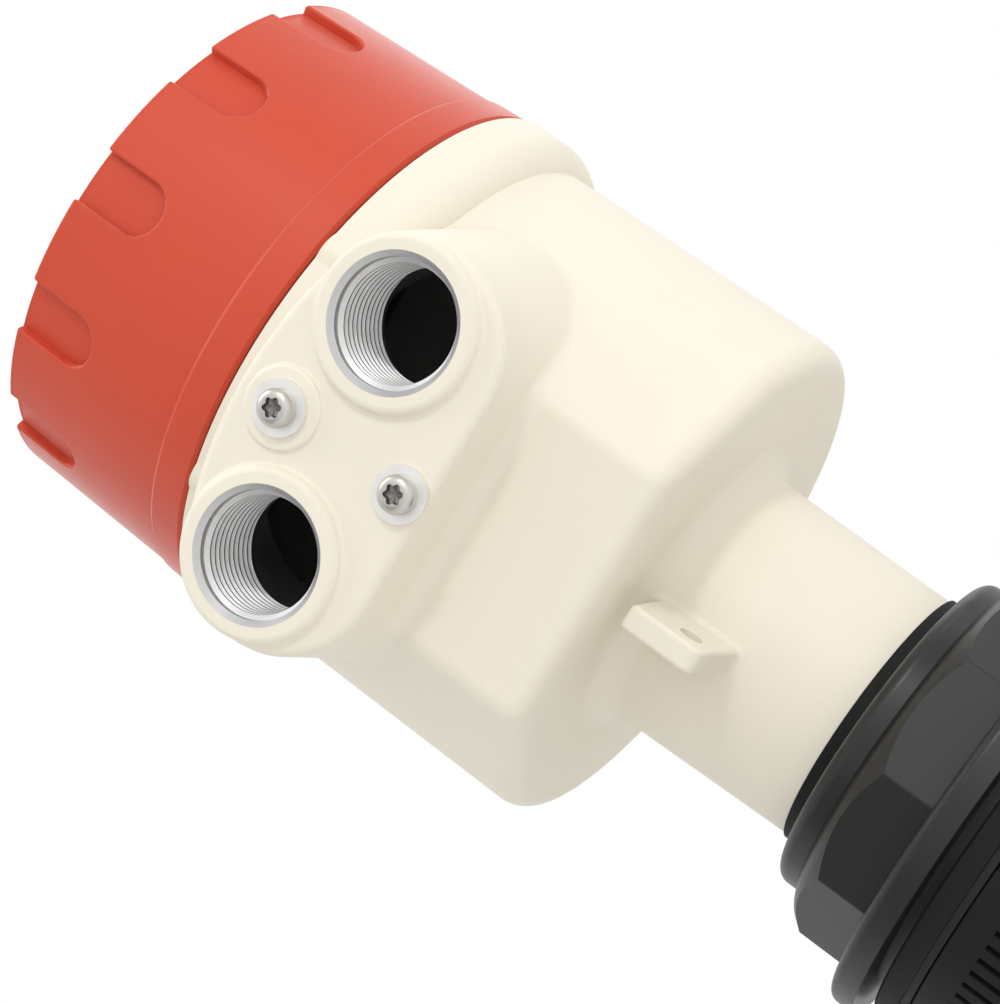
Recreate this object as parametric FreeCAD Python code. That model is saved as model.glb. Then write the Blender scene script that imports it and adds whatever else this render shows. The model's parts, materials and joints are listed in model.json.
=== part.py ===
import FreeCAD, Part
import math
import os

# An ultrasonic level meter: a cast housing with a screw cap and two conduit entries, on a
# plastic sensor with a process thread. Millimetres, +Z up along the axis, the conduit plate
# faces -Y, and the origin is the middle of the sensing face, the zero of the measured distance.

# Sensor tube, flange and ten-sided grip
tube_radius = 28.3
tube_wall = 4.3
tube_length = 75.3
tube_end_chamfer = 1.5
face_thickness = 2.5
head_inset = 0.3
head_length = 12.0
land_overhang = 4.2
land_height = 2.1
flange_overhang = 11.0
flange_thickness = 4.8
flange_round = 1.7
grip_sides = 10
grip_flats = 65.2
grip_turn = 4.0
grip_height = 13.4
grip_corner_round = 0.8
grip_chamfer = 2.4
grip_chamfer_rise = 3.0
grip_crown_rise = 1.3
grip_crown_round = 6.0
shoulder_radius = 29.0
shoulder_height = 4.4
shoulder_round = 2.2
spigot_radius = 17.3
spigot_length = 20.0
spigot_wall = 3.8

# Process thread on the tube
thread_pitch = 2.309
thread_depth = 1.5
thread_flank = 27.5
thread_lead = 0.8
thread_relief = 4.0
thread_sink = 0.2

# Transducer stack in the tube
stack_gap = 1.5
matching_thickness = 5.0
piezo_inset = 2.0
piezo_thickness = 7.0
backing_thickness = 15.0
potting_thickness = 36.0
stack_headroom = 2.5
lead_radius = 2.0
lead_gap = 0.1

# Rings and nut under the flange
ring_gap = 0.3
gasket_width = 6.7
gasket_thickness = 3.9
gasket_round = 0.6
washer_width = 6.3
washer_thickness = 1.2
nut_wall = 6.1
nut_collar_height = 5.2
nut_collar_round = 0.6
nut_grip_height = 14.2
nut_rib_count = 84
nut_rib_depth = 0.9
nut_rib_share = 0.62
nut_chamfer = 1.2

# Neck of the housing
neck_gasket_radius = 23.3
neck_gasket_thickness = 2.5
neck_foot_radius = 22.75
neck_draft = 0.85
neck_length = 37.0
neck_root_round = 5.0
spigot_gap = 0.2
passage_radius = 14.0

# Body and collar of the housing
body_radius = 46.0
body_height = 67.2
body_wall = 4.5
floor_thickness = 5.0
underside_round = 4.0
facet_half_width = 22.0
facet_round = 4.0
collar_overhang = 3.8
collar_height = 11.5
collar_round = 5.8
rim_inset = 1.0
rim_wall = 2.9
rim_height = 20.0
roof_thickness = 5.5

# Conduit plate
plate_reach = 12.6
plate_side_margin = 0.2
plate_crown_drop = 4.8
plate_foot_margin = 5.0
plate_corner = 16.5
plate_draft = 4.9
plate_root_depth = 30.0
plate_root_round = 3.0
plate_round = 1.6
entry_spacing = 41.4
entry_drop = 22.6
entry_radius = 10.0
entry_mouth = 10.9
entry_boss_radius = 13.6
entry_boss_height = 1.7
entry_boss_round = 1.2
entry_boss_root = 0.8
screw_pad_radius = 6.6
screw_pad_height = 0.8
screw_pad_round = 0.6
screw_pad_root = 0.4
upper_screw_drop = 13.6
lower_screw_drop = 37.0

# Plate screws and washers
screw_radius = 1.5
screw_length = 9.0
screw_head_radius = 3.05
screw_head_height = 2.3
screw_head_round = 1.4
screw_hole_gap = 0.1
plate_washer_radius = 4.5
plate_washer_thickness = 0.9

# Seal lug on the neck
lug_thickness = 4.2
lug_reach = 38.3
lug_head_drop = 3.2
lug_drop = 16.5
lug_foot_drop = 19.0
lug_round = 2.5
lug_edge_round = 0.8
lug_root_round = 1.0
lug_hole_radius = 2.0
lug_hole_inset = 5.1
lug_hole_rise = 4.1

# Screw cap
cap_gap = 0.8
cap_inset = 0.4
cap_taper = 1.5
cap_height = 40.5
cap_band_height = 6.4
cap_band_step = 0.4
cap_band_rise = 0.6
cap_foot_chamfer = 0.6
cap_top_round = 0.7
cap_wall = 4.0
cap_thread_gap = 0.3
rim_thread_depth = 1.0
seal_width = 2.9
seal_thickness = 3.1
seal_round = 0.9
seal_gap = 0.3
recess_count = 12
recess_turn = 11.4
recess_width = 9.6
recess_length = 15.2
recess_corner = 4.7
recess_depth = 1.8
recess_edge_round = 0.4

# Electronics module
module_gap = 0.8
pot_wall = 2.0
pot_height = 23.5
post_radius = 3.4
post_height = 6.0
post_spread = 0.74
post_count = 3
post_turn = 60.0
board_gap = 0.6
board_thickness = 1.6
small_screw_radius = 1.2
small_screw_head = 2.4
small_screw_head_height = 1.6
small_screw_length = 5.0
small_screw_gap = 0.1
transformer_size = (17.0, 15.0, 11.5)
transformer_place = (-15.0, 8.0)
winding_share = 0.6
cheek_share = 0.1
capacitor_radius = 5.0
capacitor_height = 13.0
capacitor_round = 0.75
capacitor_place = (15.0, -9.0)
plug_size = (9.0, 7.0, 6.5)
lid_thickness = 2.5
terminal_size = (42.0, 13.0, 11.0)
terminal_step = 4.5
terminal_ways = 6
terminal_entry_width = 4.4
terminal_entry_height = 3.4
terminal_screw_radius = 1.9
terminal_screw_length = 5.0
terminal_screw_sink = 1.25
terminal_screw_gap = 0.15

# Heights, from the sensing face up
flange_foot = tube_length + land_height
grip_foot = flange_foot + flange_thickness
shoulder_foot = grip_foot + grip_height
shoulder_top = shoulder_foot + shoulder_height
neck_foot = shoulder_top + neck_gasket_thickness
underside = neck_foot + neck_length
rim_foot = underside + body_height
rim_top = rim_foot + rim_height
cavity_floor = underside + floor_thickness
chamber_roof = rim_foot - roof_thickness
entry_height = rim_foot - entry_drop
cap_foot = rim_foot + cap_gap
cap_top = cap_foot + cap_height
gasket_foot = tube_length - gasket_thickness
washer_foot = gasket_foot - washer_thickness
nut_collar_foot = washer_foot - nut_collar_height
nut_foot = nut_collar_foot - nut_grip_height
pot_top = cavity_floor + pot_height
lid_top = pot_top + lid_thickness
board_foot = cavity_floor + pot_wall + post_height

# Radii and depths that follow from others
chamber_radius = body_radius - body_wall
rim_bore = chamber_radius - rim_inset
rim_radius = rim_bore + rim_wall
cap_bore = rim_radius + rim_thread_depth + cap_thread_gap
land_radius = tube_radius + land_overhang
flange_radius = tube_radius + flange_overhang
thread_crest = tube_radius + thread_depth
thread_bore = thread_crest + ring_gap
gasket_radius = thread_bore + gasket_width
washer_radius = thread_bore + washer_width
nut_radius = thread_bore + nut_wall
neck_top_radius = neck_foot_radius + neck_draft
plate_face = body_radius + plate_reach
plate_root = body_radius - plate_root_depth
plate_shoulder = entry_boss_radius + plate_side_margin
plate_half_width = entry_spacing / 2 + plate_shoulder
plate_foot_drop = entry_drop + entry_boss_radius + plate_foot_margin
entry_face = plate_face + entry_boss_height
tube_bore = tube_radius - tube_wall
cap_foot_radius = body_radius + collar_overhang - cap_inset
cap_top_radius = cap_foot_radius - cap_taper
pot_radius = rim_bore - module_gap
board_radius = pot_radius - pot_wall - board_gap
post_circle = post_spread * board_radius
pillar_circle = pot_radius - pot_wall - post_radius / 2
stack_radius = tube_bore - stack_gap
seal_inner = rim_radius + seal_gap
seal_outer = seal_inner + seal_width


def at(x, y, z):
    return FreeCAD.Vector(x, y, z)


def in_section(r, z):
    return at(r, 0, z)


def rounded_edges(corners, place, closed=True):
    """Edges of a path through corners (u, v) or (u, v, radius), set in space by place(u, v)."""
    points = [at(corner[0], corner[1], 0) for corner in corners]
    radii = [corner[2] if len(corner) > 2 else 0 for corner in corners]
    stretches = []
    for index, point in enumerate(points):
        to_before = (points[index - 1] - point).normalize()
        to_after = (points[(index + 1) % len(points)] - point).normalize()
        half_angle = to_before.getAngle(to_after) / 2
        reach = radii[index] / math.tan(half_angle)
        lift = radii[index] / math.sin(half_angle) - radii[index]
        middle = point
        if radii[index]:
            middle = point + (to_before + to_after).normalize() * lift
        stretches.append((point + to_before * reach, middle, point + to_after * reach))
    stretches = [[place(p.x, p.y) for p in stretch] for stretch in stretches]
    edges = []
    for index, (start, middle, end) in enumerate(stretches):
        if radii[index]:
            edges.append(Part.Arc(start, middle, end).toShape())
        if not closed and index == len(stretches) - 1:
            break
        following = stretches[(index + 1) % len(stretches)][0]
        if end.distanceToPoint(following) > 1e-6:
            edges.append(Part.LineSegment(end, following).toShape())
    return edges


def rounded_face(corners, place):
    return Part.Face(Part.Wire(rounded_edges(corners, place)))


def turned(corners):
    """Solid of revolution about Z from corners (radius, height) or (radius, height, round)."""
    return rounded_face(corners, in_section).revolve(at(0, 0, 0), at(0, 0, 1), 360)


def upright(radius, foot, top, x=0, y=0):
    return Part.makeCylinder(radius, top - foot, at(x, y, foot))


def tube(outer, inner, foot, top):
    return turned([(inner, foot), (outer, foot), (outer, top), (inner, top)])


def inward(radius, x, z, face, length, end_radius=None):
    """Round bar, or a cone if end_radius is given, from the plane y = -face towards the axis."""
    place = (at(x, -face, z), at(0, 1, 0))
    if end_radius is None:
        return Part.makeCylinder(radius, length, *place)
    return Part.makeCone(radius, end_radius, length, *place)


def block(size, foot, x=0, y=0):
    return Part.makeBox(size[0], size[1], size[2], at(x - size[0] / 2, y - size[1] / 2, foot))


def edges_in_plane(shape, height):
    level = [(e, e.BoundBox) for e in shape.Edges]
    return [e for e, box in level if max(abs(box.ZMin - height), abs(box.ZMax - height)) < 1e-4]


def edges_at_depth(shape, depth):
    level = [(e, e.BoundBox) for e in shape.Edges]
    return [e for e, box in level if max(abs(box.YMin + depth), abs(box.YMax + depth)) < 1e-4]


def turns(shape, count, start=0.0):
    """Copies of a shape, evenly spaced about Z."""
    copies = []
    for index in range(count):
        copy = shape.copy()
        copy.rotate(at(0, 0, 0), at(0, 0, 1), start + 360.0 * index / count)
        copies.append(copy)
    return copies


def faceted_prism(radius, foot, top):
    """Round prism with three flat facets at the front, tangent to the round."""
    half_width = facet_half_width * radius / body_radius
    spread = 2 * math.atan(half_width / radius)
    side = (radius * math.sin(spread), -radius * math.cos(spread))
    front = [(-side[0], side[1]), (-half_width, -radius, facet_round),
             (half_width, -radius, facet_round), side]
    edges = rounded_edges(front, lambda x, y: at(x, y, foot), closed=False)
    ends = [at(x, side[1], foot) for x in (side[0], -side[0])]
    edges.append(Part.Arc(ends[0], at(0, radius, foot), ends[1]).toShape())
    return Part.Face(Part.Wire(edges)).extrude(at(0, 0, top - foot))


def housing_body():
    """Blank of the faceted body, as high as the rim, rounded round its underside."""
    solid = faceted_prism(body_radius, underside, rim_top)
    return solid.makeFillet(underside_round, edges_in_plane(solid, underside))


def housing_collar():
    """Round collar under the cap, its lower edge rounded in to the body."""
    foot = rim_foot - collar_height
    radius = body_radius + collar_overhang
    return turned([(0, foot), (radius, foot, collar_round), (radius, rim_foot), (0, rim_foot)])


def housing_neck():
    return turned([(0, neck_foot), (neck_foot_radius, neck_foot), (neck_top_radius, underside),
                   (0, underside)])


def plate_outline(depth):
    """Outline in the plane y = -depth, larger towards the root by the draft, arched at the top."""
    growth = (plate_face - depth) * math.tan(math.radians(plate_draft))
    entry = entry_spacing / 2
    rise = entry_drop - plate_crown_drop
    crown = (entry ** 2 + rise ** 2 - plate_shoulder ** 2) / (rise - plate_shoulder) / 2
    crown_middle = rim_foot - plate_crown_drop - crown
    lean = math.degrees(math.asin(entry / (crown - plate_shoulder)))
    low = plate_half_width - plate_corner
    low_height = rim_foot - plate_foot_drop + plate_corner
    arcs = [(low, low_height, plate_corner, -90, 0),
            (entry, entry_height, plate_shoulder, 0, 90 - lean),
            (0, crown_middle, crown, 90 - lean, 90 + lean),
            (-entry, entry_height, plate_shoulder, 90 + lean, 180),
            (-low, low_height, plate_corner, 180, 270)]
    stretches = []
    for x, z, radius, first, last in arcs:
        angles = [math.radians(angle) for angle in (first, (first + last) / 2, last)]
        reach = radius + growth
        stretches.append([at(x + reach * math.cos(a), -depth, z + reach * math.sin(a)) for a in angles])
    edges = []
    for index, stretch in enumerate(stretches):
        edges.append(Part.Arc(*stretch).toShape())
        following = stretches[(index + 1) % len(stretches)][0]
        if stretch[2].distanceToPoint(following) > 1e-6:
            edges.append(Part.LineSegment(stretch[2], following).toShape())
    return Part.Wire(edges)


def housing_plate():
    """Plate block with draft, sunk into the body and rounded along its front edge."""
    solid = Part.makeLoft([plate_outline(plate_root), plate_outline(plate_face)], True, True)
    return solid.makeFillet(plate_round, edges_at_depth(solid, plate_face))


def entry_boss(side):
    boss = inward(entry_boss_radius, side * entry_spacing / 2, entry_height, entry_face, plate_reach)
    return boss.makeFillet(entry_boss_round, edges_at_depth(boss, entry_face))


def screw_pad():
    face = plate_face + screw_pad_height
    pad = inward(screw_pad_radius, 0, rim_foot - upper_screw_drop, face, plate_reach)
    return pad.makeFillet(screw_pad_round, edges_at_depth(pad, face))


def edges_along(shape, curves):
    """Edges of a shape whose middles lie on the given curves."""
    found = []
    for edge in shape.Edges:
        middle = edge.valueAt((edge.FirstParameter + edge.LastParameter) / 2)
        if curves.distToShape(Part.Vertex(middle))[0] < 1e-3:
            found.append(edge)
    return found


def joined_with_round(first, second, radius):
    """Two solids as one, with the inner corner along which they meet rounded."""
    solid = first.fuse(second).removeSplitter()
    return solid.makeFillet(radius, edges_along(solid, first.section(second)))


def seal_lug():
    """Web on the neck below the underside, its free edges rounded, with a hole for a seal wire."""
    inner = neck_foot_radius / 2
    foot = underside - lug_drop
    head = underside - lug_head_drop
    corners = [(-inner, head), (-lug_reach, head, lug_edge_round), (-lug_reach, foot, lug_round),
               (-inner, underside - lug_foot_drop)]
    face = rounded_face(corners, lambda y, z: at(-lug_thickness / 2, y, z))
    web = face.extrude(at(lug_thickness, 0, 0))
    sides = [edge for edge in web.Edges if edge.BoundBox.XLength < 1e-4]
    middles = [(edge, edge.CenterOfMass) for edge in sides]
    free = [edge for edge, middle in middles if middle.y < -inner - lug_round / 2]
    web = web.makeFillet(lug_edge_round, free)
    hole_start = at(-lug_thickness, lug_hole_inset - lug_reach, foot + lug_hole_rise)
    return web.cut(Part.makeCylinder(lug_hole_radius, 2 * lug_thickness, hole_start, at(1, 0, 0)))


def entry_cutters():
    """Threaded bore of each conduit entry, with its chamfered mouth, through to the cavity."""
    chamfer = entry_mouth - entry_radius
    cutters = []
    for side in (-1, 1):
        x = side * entry_spacing / 2
        cutters.append(inward(entry_radius, x, entry_height, entry_face, entry_face - rim_bore / 2))
        cutters.append(inward(entry_mouth, x, entry_height, entry_face, chamfer, entry_radius))
    return cutters


def plate_screw_face(drop):
    return plate_face + (screw_pad_height if drop == upper_screw_drop else 0)


def housing():
    solid = joined_with_round(housing_body(), housing_plate(), plate_root_round)
    solid = solid.cut(upright(2 * body_radius, rim_foot, rim_top))
    solid = joined_with_round(solid, housing_neck(), neck_root_round)
    solid = joined_with_round(solid, seal_lug(), lug_root_round)
    solid = joined_with_round(solid, screw_pad(), screw_pad_root)
    for side in (-1, 1):
        solid = joined_with_round(solid, entry_boss(side), entry_boss_root)
    solid = solid.fuse(housing_collar()).removeSplitter()
    solid = solid.fuse(upright(rim_radius, rim_foot, rim_top))
    spigot_top = neck_foot + spigot_length
    cutters = [faceted_prism(chamber_radius, cavity_floor, chamber_roof),
               upright(rim_bore, cavity_floor, rim_top),
               upright(passage_radius, neck_foot, cavity_floor),
               upright(spigot_radius + spigot_gap, neck_foot, spigot_top)]
    cutters += entry_cutters()
    for drop in (upper_screw_drop, lower_screw_drop):
        face = plate_screw_face(drop)
        cutters.append(inward(screw_radius + screw_hole_gap, 0, rim_foot - drop, face, screw_length + 1))
    return solid.cut(cutters)


def cap():
    """Tapered lid with a foot band, grip recesses open at the top, and a bore for the rim."""
    step_height = cap_foot + cap_band_height
    taper = (cap_foot_radius - cap_top_radius) / cap_height
    step_radius = cap_foot_radius - taper * cap_band_height
    seal_roof = rim_foot + seal_thickness + seal_gap
    blank = turned([
        (seal_outer + seal_gap, cap_foot), (cap_foot_radius - cap_foot_chamfer, cap_foot),
        (cap_foot_radius, cap_foot + cap_foot_chamfer), (step_radius, step_height),
        (step_radius - cap_band_step, step_height + cap_band_rise),
        (cap_top_radius, cap_top, cap_top_round), (0, cap_top), (0, cap_top - cap_wall),
        (cap_bore, cap_top - cap_wall, cap_wall / 2), (cap_bore, seal_roof),
        (seal_outer + seal_gap, seal_roof)])
    cutters = turns(recess_cutter(taper), recess_count, recess_turn)
    solid = blank.cut(cutters)
    rims = edges_along(solid, blank.section(Part.Compound(cutters)))
    below = cap_top - cap_top_round + 1e-4
    return solid.makeFillet(recess_edge_round, [edge for edge in rims if edge.BoundBox.ZMax < below])


def recess_cutter(taper):
    """One grip recess: a U-shaped pocket whose floor follows the taper of the cap."""
    foot = cap_top - recess_length
    half = recess_width / 2
    over = cap_top + half
    corners = [(-half, over), (-half, foot, recess_corner), (half, foot, recess_corner), (half, over)]
    prism = rounded_face(corners, lambda y, z: at(cap_bore, y, z)).extrude(at(cap_foot_radius, 0, 0))
    floor_top = cap_top_radius - recess_depth - taper * half
    floor_foot = cap_top_radius - recess_depth + taper * recess_length
    outside = 2 * cap_foot_radius
    shell = turned([(floor_foot, foot), (outside, foot), (outside, over), (floor_top, over)])
    return shell.common(prism)


def cap_seal():
    top = rim_foot + seal_thickness
    return turned([(seal_inner, rim_foot), (seal_outer, rim_foot), (seal_outer, top, seal_round),
                   (seal_inner, top, seal_round)])


def plate_screw(drop):
    """Pan-head screw on its washer, the shank in the housing."""
    face = plate_screw_face(drop) + plate_washer_thickness
    height = rim_foot - drop
    head = inward(screw_head_radius, 0, height, face + screw_head_height, screw_head_height)
    head = head.makeFillet(screw_head_round, edges_at_depth(head, face + screw_head_height))
    return head.fuse(inward(screw_radius, 0, height, face, plate_washer_thickness + screw_length))


def plate_washer(drop):
    face = plate_screw_face(drop) + plate_washer_thickness
    height = rim_foot - drop
    disc = inward(plate_washer_radius, 0, height, face, plate_washer_thickness)
    return disc.cut(inward(screw_radius + screw_hole_gap, 0, height, face, plate_washer_thickness))


def grip():
    """Ten-sided spanner grip, its upper corners turned off at a crowned chamfer."""
    corner = grip_flats / 2 / math.cos(math.pi / grip_sides)
    angles = [math.radians(grip_turn + 360.0 * i / grip_sides) for i in range(grip_sides + 1)]
    points = [at(corner * math.sin(a), -corner * math.cos(a), grip_foot) for a in angles]
    prism = Part.Face(Part.makePolygon(points)).extrude(at(0, 0, grip_height))
    corners = [edge for edge in prism.Edges if edge.BoundBox.ZLength > grip_height / 2]
    prism = prism.makeFillet(grip_corner_round, corners)
    crown_foot = shoulder_foot - grip_crown_rise
    envelope = turned([(0, grip_foot), (corner, grip_foot), (corner, crown_foot - grip_chamfer_rise),
                       (corner - grip_chamfer, crown_foot, grip_crown_round),
                       (shoulder_radius, shoulder_foot), (0, shoulder_foot)])
    return prism.common(envelope)


def process_thread():
    """Helical ridge on the tube, trimmed to its crest and chamfered at both ends."""
    foot = head_length + thread_lead
    top = tube_length - thread_relief
    slope = math.tan(math.radians(thread_flank))
    crest = (thread_pitch - 2 * thread_depth * slope) / 4
    root = crest + (thread_depth + thread_sink) * slope
    section = [at(tube_radius - thread_sink, 0, -root), at(thread_crest, 0, -crest),
               at(thread_crest, 0, crest), at(tube_radius - thread_sink, 0, root)]
    outline = Part.makePolygon(section + section[:1])
    path = Part.makeHelix(thread_pitch, top - foot + 2 * thread_pitch, tube_radius)
    ridge = Part.Wire(path.Edges).makePipeShell([outline], True, True)
    ridge.translate(at(0, 0, foot - thread_pitch))
    over = 2 * thread_depth
    return ridge.common(turned([
        (tube_bore, foot), (tube_radius, foot), (tube_radius + over, foot + over),
        (tube_radius + over, top - over), (tube_radius, top), (tube_bore, top)]))


def sensor_body():
    """Moulded sensor: closed threaded tube, gasket land, flange, grip, shoulder and spigot."""
    flange_top = grip_foot
    head_radius = tube_radius - head_inset
    lower = turned([
        (0, 0), (head_radius, 0), (head_radius, head_length), (tube_radius, head_length + head_inset),
        (tube_radius, tube_length), (land_radius, tube_length), (land_radius, flange_foot),
        (flange_radius, flange_foot), (flange_radius, flange_top, flange_round), (0, flange_top)])
    lower = lower.makeChamfer(tube_end_chamfer, edges_in_plane(lower, 0))
    shoulder = turned([(0, shoulder_foot), (shoulder_radius, shoulder_foot),
                       (shoulder_radius, shoulder_top, shoulder_round), (0, shoulder_top)])
    spigot_top = neck_foot + spigot_length
    solid = lower.fuse([grip(), shoulder, upright(spigot_radius, shoulder_top, spigot_top)])
    lead_way = spigot_radius - spigot_wall
    tube_roof = stack_height(4) + stack_headroom
    solid = solid.cut([upright(tube_bore, face_thickness, tube_roof),
                       upright(lead_way, tube_roof, spigot_top)])
    return solid.fuse(process_thread())


def mount_gasket():
    return turned([(thread_bore, gasket_foot), (gasket_radius, gasket_foot, gasket_round),
                   (gasket_radius, tube_length, gasket_round), (thread_bore, tube_length)])


def lock_nut():
    """Ribbed nut with a plain collar, bored clear of the thread crests."""
    body = turned([(thread_bore, nut_foot), (nut_radius - nut_rib_depth, nut_foot),
                   (nut_radius - nut_rib_depth, nut_collar_foot), (nut_radius, nut_collar_foot),
                   (nut_radius, washer_foot, nut_collar_round), (thread_bore, washer_foot)])
    pitch = 2 * math.pi * nut_radius / nut_rib_count
    crest = pitch * nut_rib_share / 2
    root = crest + nut_rib_depth / 3
    inner = nut_radius - 1.5 * nut_rib_depth
    section = [at(inner, -root, nut_foot), at(nut_radius, -crest, nut_foot),
               at(nut_radius, crest, nut_foot), at(inner, root, nut_foot), at(inner, -root, nut_foot)]
    rib = Part.Face(Part.makePolygon(section)).extrude(at(0, 0, nut_grip_height))
    solid = body.fuse(turns(rib, nut_rib_count))
    wide = nut_radius + nut_chamfer
    bevel = turned([(nut_radius - nut_chamfer, nut_foot), (wide, nut_foot),
                    (wide, nut_foot + 2 * nut_chamfer)])
    return solid.cut(bevel)


def module_pot():
    """Open pot: floor with a lead hole, posts for the board, taller pillars for the lid's screws."""
    pot = turned([(passage_radius, cavity_floor), (pot_radius, cavity_floor), (pot_radius, pot_top),
                  (pot_radius - pot_wall, pot_top), (pot_radius - pot_wall, cavity_floor + pot_wall),
                  (passage_radius, cavity_floor + pot_wall)])
    post = upright(post_radius, cavity_floor + pot_wall, board_foot, post_circle)
    hole = upright(small_screw_radius + small_screw_gap, cavity_floor + pot_wall, board_foot, post_circle)
    posts = turns(post, post_count, post_turn) + turns(lid_pillar(), post_count)
    holes = turns(hole, post_count, post_turn) + turns(lid_screw_hole(), post_count)
    return pot.fuse(posts).cut(holes)


def lid_pillar():
    pillar = upright(post_radius, cavity_floor + pot_wall, pot_top, pillar_circle)
    return pillar.common(upright(pot_radius, cavity_floor, pot_top))


def lid_screw_hole():
    radius = small_screw_radius + small_screw_gap
    return upright(radius, pot_top - small_screw_length, lid_top, pillar_circle)


def small_screw(seat, circle):
    head = upright(small_screw_head, seat, seat + small_screw_head_height, circle)
    crown = edges_in_plane(head, seat + small_screw_head_height)
    head = head.makeFillet(small_screw_head_height / 2, crown)
    return head.fuse(upright(small_screw_radius, seat - small_screw_length, seat, circle))


def board_screws():
    screw = small_screw(board_foot + board_thickness, post_circle)
    return Part.Compound(turns(screw, post_count, post_turn))


def lid_screws():
    return Part.Compound(turns(small_screw(lid_top, pillar_circle), post_count))


def main_board():
    """Round board, notched at the lid's pillars."""
    top = board_foot + board_thickness
    notch = upright(post_radius + board_gap, board_foot, top, pillar_circle)
    hole = upright(small_screw_radius + small_screw_gap, board_foot, top, post_circle)
    holes = turns(notch, post_count) + turns(hole, post_count, post_turn)
    return upright(board_radius, board_foot, top).cut(holes)


def pulse_transformer():
    """Wound coil between two bobbin flanges with a core through it."""
    foot = board_foot + board_thickness
    length, width, height = transformer_size
    x, y = transformer_place
    core = block((length, width / 2, height / 2), foot + height / 4, x, y)
    wound = length * winding_share
    winding = Part.makeCylinder(height / 2, wound, at(x - wound / 2, y, foot + height / 2), at(1, 0, 0))
    cheek = (length * cheek_share, width, height)
    middle = (wound + cheek[0]) / 2
    return core.fuse([winding, block(cheek, foot, x - middle, y), block(cheek, foot, x + middle, y)])


def storage_capacitor():
    foot = board_foot + board_thickness
    can = upright(capacitor_radius, foot, foot + capacitor_height, *capacitor_place)
    return can.makeFillet(capacitor_round, edges_in_plane(can, foot + capacitor_height))


def lead_plug():
    return block(plug_size, board_foot - plug_size[2])


def transducer_lead():
    return upright(lead_radius, stack_height(2), board_foot - plug_size[2])


def stack_height(layers):
    """Height of the top of the first layers of the transducer stack."""
    thicknesses = (matching_thickness, piezo_thickness, backing_thickness, potting_thickness)
    return face_thickness + sum(thicknesses[:layers])


def matching_layer():
    return upright(stack_radius, face_thickness, stack_height(1))


def piezo_disc():
    return upright(stack_radius - piezo_inset, stack_height(1), stack_height(2))


def backing_block():
    return tube(stack_radius, lead_radius + lead_gap, stack_height(2), stack_height(3))


def potting_fill():
    return tube(tube_bore - lead_gap, lead_radius + lead_gap, stack_height(3), stack_height(4))


def module_lid():
    return upright(pot_radius, pot_top, lid_top).cut(turns(lid_screw_hole(), post_count))


def terminal_places():
    pitch = terminal_size[0] / terminal_ways
    return [pitch * (index + 0.5) - terminal_size[0] / 2 for index in range(terminal_ways)]


def terminal_block():
    """Stepped strip: square wire entries in its front, a screw well above each."""
    length, depth, height = terminal_size
    top = lid_top + height
    step_corner = at(-length / 2, -depth / 2, top - height / 3)
    cutters = [Part.makeBox(length, terminal_step, height / 3, step_corner)]
    well = top - terminal_screw_length
    entry_foot = lid_top + height / 3 - terminal_entry_height / 2
    for x in terminal_places():
        cutters.append(upright(terminal_screw_radius + terminal_screw_gap, well, top, x, depth / 6))
        corner = at(x - terminal_entry_width / 2, -depth / 2, entry_foot)
        cutters.append(Part.makeBox(terminal_entry_width, depth / 2, terminal_entry_height, corner))
    return block(terminal_size, lid_top).cut(cutters)


def terminal_screws():
    top = lid_top + terminal_size[2] - terminal_screw_sink
    foot = lid_top + terminal_size[2] - terminal_screw_length
    y = terminal_size[1] / 6
    return Part.Compound([upright(terminal_screw_radius, foot, top, x, y) for x in terminal_places()])


pieces = {
    "housing": housing(),
    "cap": cap(),
    "cap_seal": cap_seal(),
    "upper_screw": plate_screw(upper_screw_drop),
    "upper_washer": plate_washer(upper_screw_drop),
    "lower_screw": plate_screw(lower_screw_drop),
    "lower_washer": plate_washer(lower_screw_drop),
    "neck_gasket": tube(neck_gasket_radius, spigot_radius + spigot_gap, shoulder_top, neck_foot),
    "sensor_body": sensor_body(),
    "matching_layer": matching_layer(),
    "piezo_disc": piezo_disc(),
    "backing_block": backing_block(),
    "potting_fill": potting_fill(),
    "transducer_lead": transducer_lead(),
    "lead_plug": lead_plug(),
    "mount_gasket": mount_gasket(),
    "slip_washer": tube(washer_radius, thread_bore, washer_foot, gasket_foot),
    "lock_nut": lock_nut(),
    "module_pot": module_pot(),
    "main_board": main_board(),
    "board_screws": board_screws(),
    "pulse_transformer": pulse_transformer(),
    "storage_capacitor": storage_capacitor(),
    "module_lid": module_lid(),
    "lid_screws": lid_screws(),
    "terminal_block": terminal_block(),
    "terminal_screws": terminal_screws(),
}

os.makedirs("parts", exist_ok=True)
for name, shape in pieces.items():
    shape.exportStep("parts/" + name + ".step")
    print(name, len(shape.Solids), shape.isValid(), round(shape.Volume / 1000, 2), "cm3")
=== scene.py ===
import functools
import json
import math
from collections import namedtuple

import bmesh
import bpy
from bpy.props import FloatProperty, FloatVectorProperty, IntProperty, PointerProperty
from mathutils import Matrix, Vector


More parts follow.
